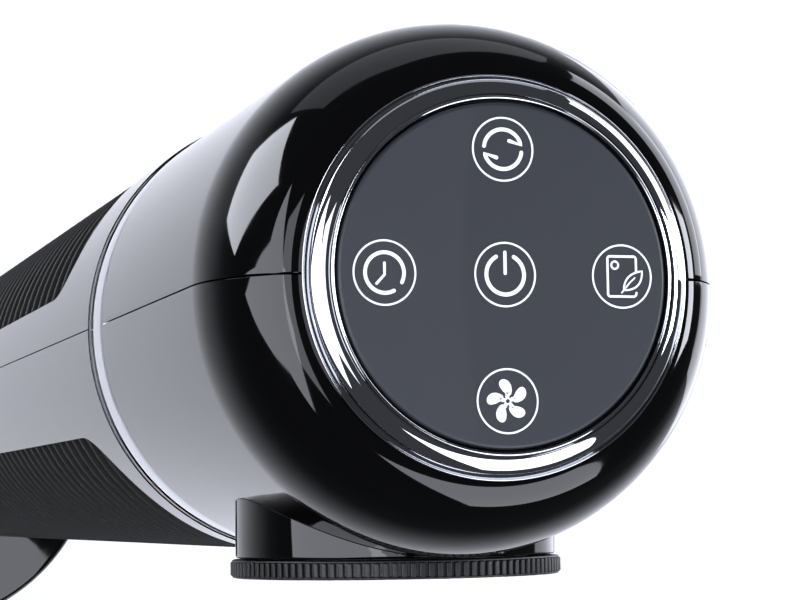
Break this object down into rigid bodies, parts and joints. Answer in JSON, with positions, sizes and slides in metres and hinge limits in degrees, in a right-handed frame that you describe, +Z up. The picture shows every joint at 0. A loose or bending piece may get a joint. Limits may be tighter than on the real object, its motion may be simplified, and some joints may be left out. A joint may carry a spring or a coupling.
{
  "type": "tower fan",
  "caption": "Slim round tower fan on a disc base, with a touch panel on its domed top, a ribbed front dial and tall ribbed grilles; the tower swings.",
  "frame": {"origin": "centre of the footprint, on the floor", "axes": "+Z up the tower, -Y towards the air outlet and the dial, +X to the right seen from the front"},
  "size_m": [0.24, 0.24, 1.12],
  "materials": {
    "gloss_black": "piano-black high-gloss ABS",
    "matt_black": "charcoal moulded ABS, fine grain",
    "chrome": "bright chromed plastic",
    "panel": "tinted hard-coated panel with white line icons",
    "lens": "smoked acrylic",
    "inner_plastic": "black moulded ABS",
    "rubber": "moulded rubber",
    "steel": "zinc-plated steel",
    "iron": "cast and laminated iron",
    "motor_case": "pressed bare metal",
    "acetal": "natural acetal",
    "bronze": "sintered bronze",
    "circuit": "green solder mask",
    "component": "moulded component cases"
  },
  "bodies": {
    "base": {"base_cover": "gloss_black", "rubber_feet": "rubber", "base_plate": "inner_plastic", "base_weight": "iron", "base_screws": "steel", "slide_washer": "acetal", "cord_gland": "rubber", "pivot_post": "steel", "post_clip": "steel", "swing_gear": "acetal"},
    "tower": {"front_head_shell": "gloss_black", "rear_head_shell": "gloss_black", "front_housing": "gloss_black", "rear_housing": "gloss_black", "front_grille": "matt_black", "rear_grille": "matt_black", "chrome_ring": "chrome", "chrome_bezel": "chrome", "touch_panel": "panel", "display_window": "lens", "turntable": "inner_plastic", "upper_deck": "inner_plastic", "motor_deck": "inner_plastic", "air_guide": "inner_plastic", "vortex_tongue": "inner_plastic", "dial_hub": "inner_plastic", "bearing_holder": "rubber", "motor_mounts": "rubber", "stepper_screws": "steel", "shell_screws": "steel", "motor_screws": "steel", "motor_stator": "iron", "motor_case_lower": "motor_case", "motor_case_upper": "motor_case", "swing_stepper": "motor_case", "run_capacitor": "motor_case", "motor_bushes": "bronze", "wheel_bush": "bronze", "control_board": "circuit", "touch_board": "circuit", "display_board": "circuit", "dial_sensor": "circuit", "board_parts": "component"},
    "pinion": {"swing_pinion": "acetal", "pinion_shaft": "steel"},
    "wheel": {"fan_wheel": "inner_plastic", "motor_shaft": "steel", "wheel_pin": "steel", "motor_rotor": "iron"},
    "dial": {"dial_ring": "matt_black"}
  },
  "joints": [
    {"name": "tower_swing", "type": "hinge", "parent": "base", "child": "tower", "pos_m": [0, 0, 0.034], "axis": [0, 0, 1], "range_deg": [-40, 40]},
    {"name": "pinion_spin", "type": "hinge", "parent": "tower", "child": "pinion", "pos_m": [0.0323, 0, 0.045], "axis": [0, 0, 1], "range_deg": [-130, 130]},
    {"name": "wheel_spin", "type": "hinge", "parent": "tower", "child": "wheel", "pos_m": [0, 0, 0.5], "axis": [0, 0, 1], "continuous": true},
    {"name": "dial_turn", "type": "hinge", "parent": "tower", "child": "dial", "pos_m": [0, -0.061, 1.0427], "axis": [0, -1, 0], "continuous": true}
  ],
  "couplings": [
    {"joint": "pinion_spin", "follows": "tower_swing", "ratio": 3}
  ]
}
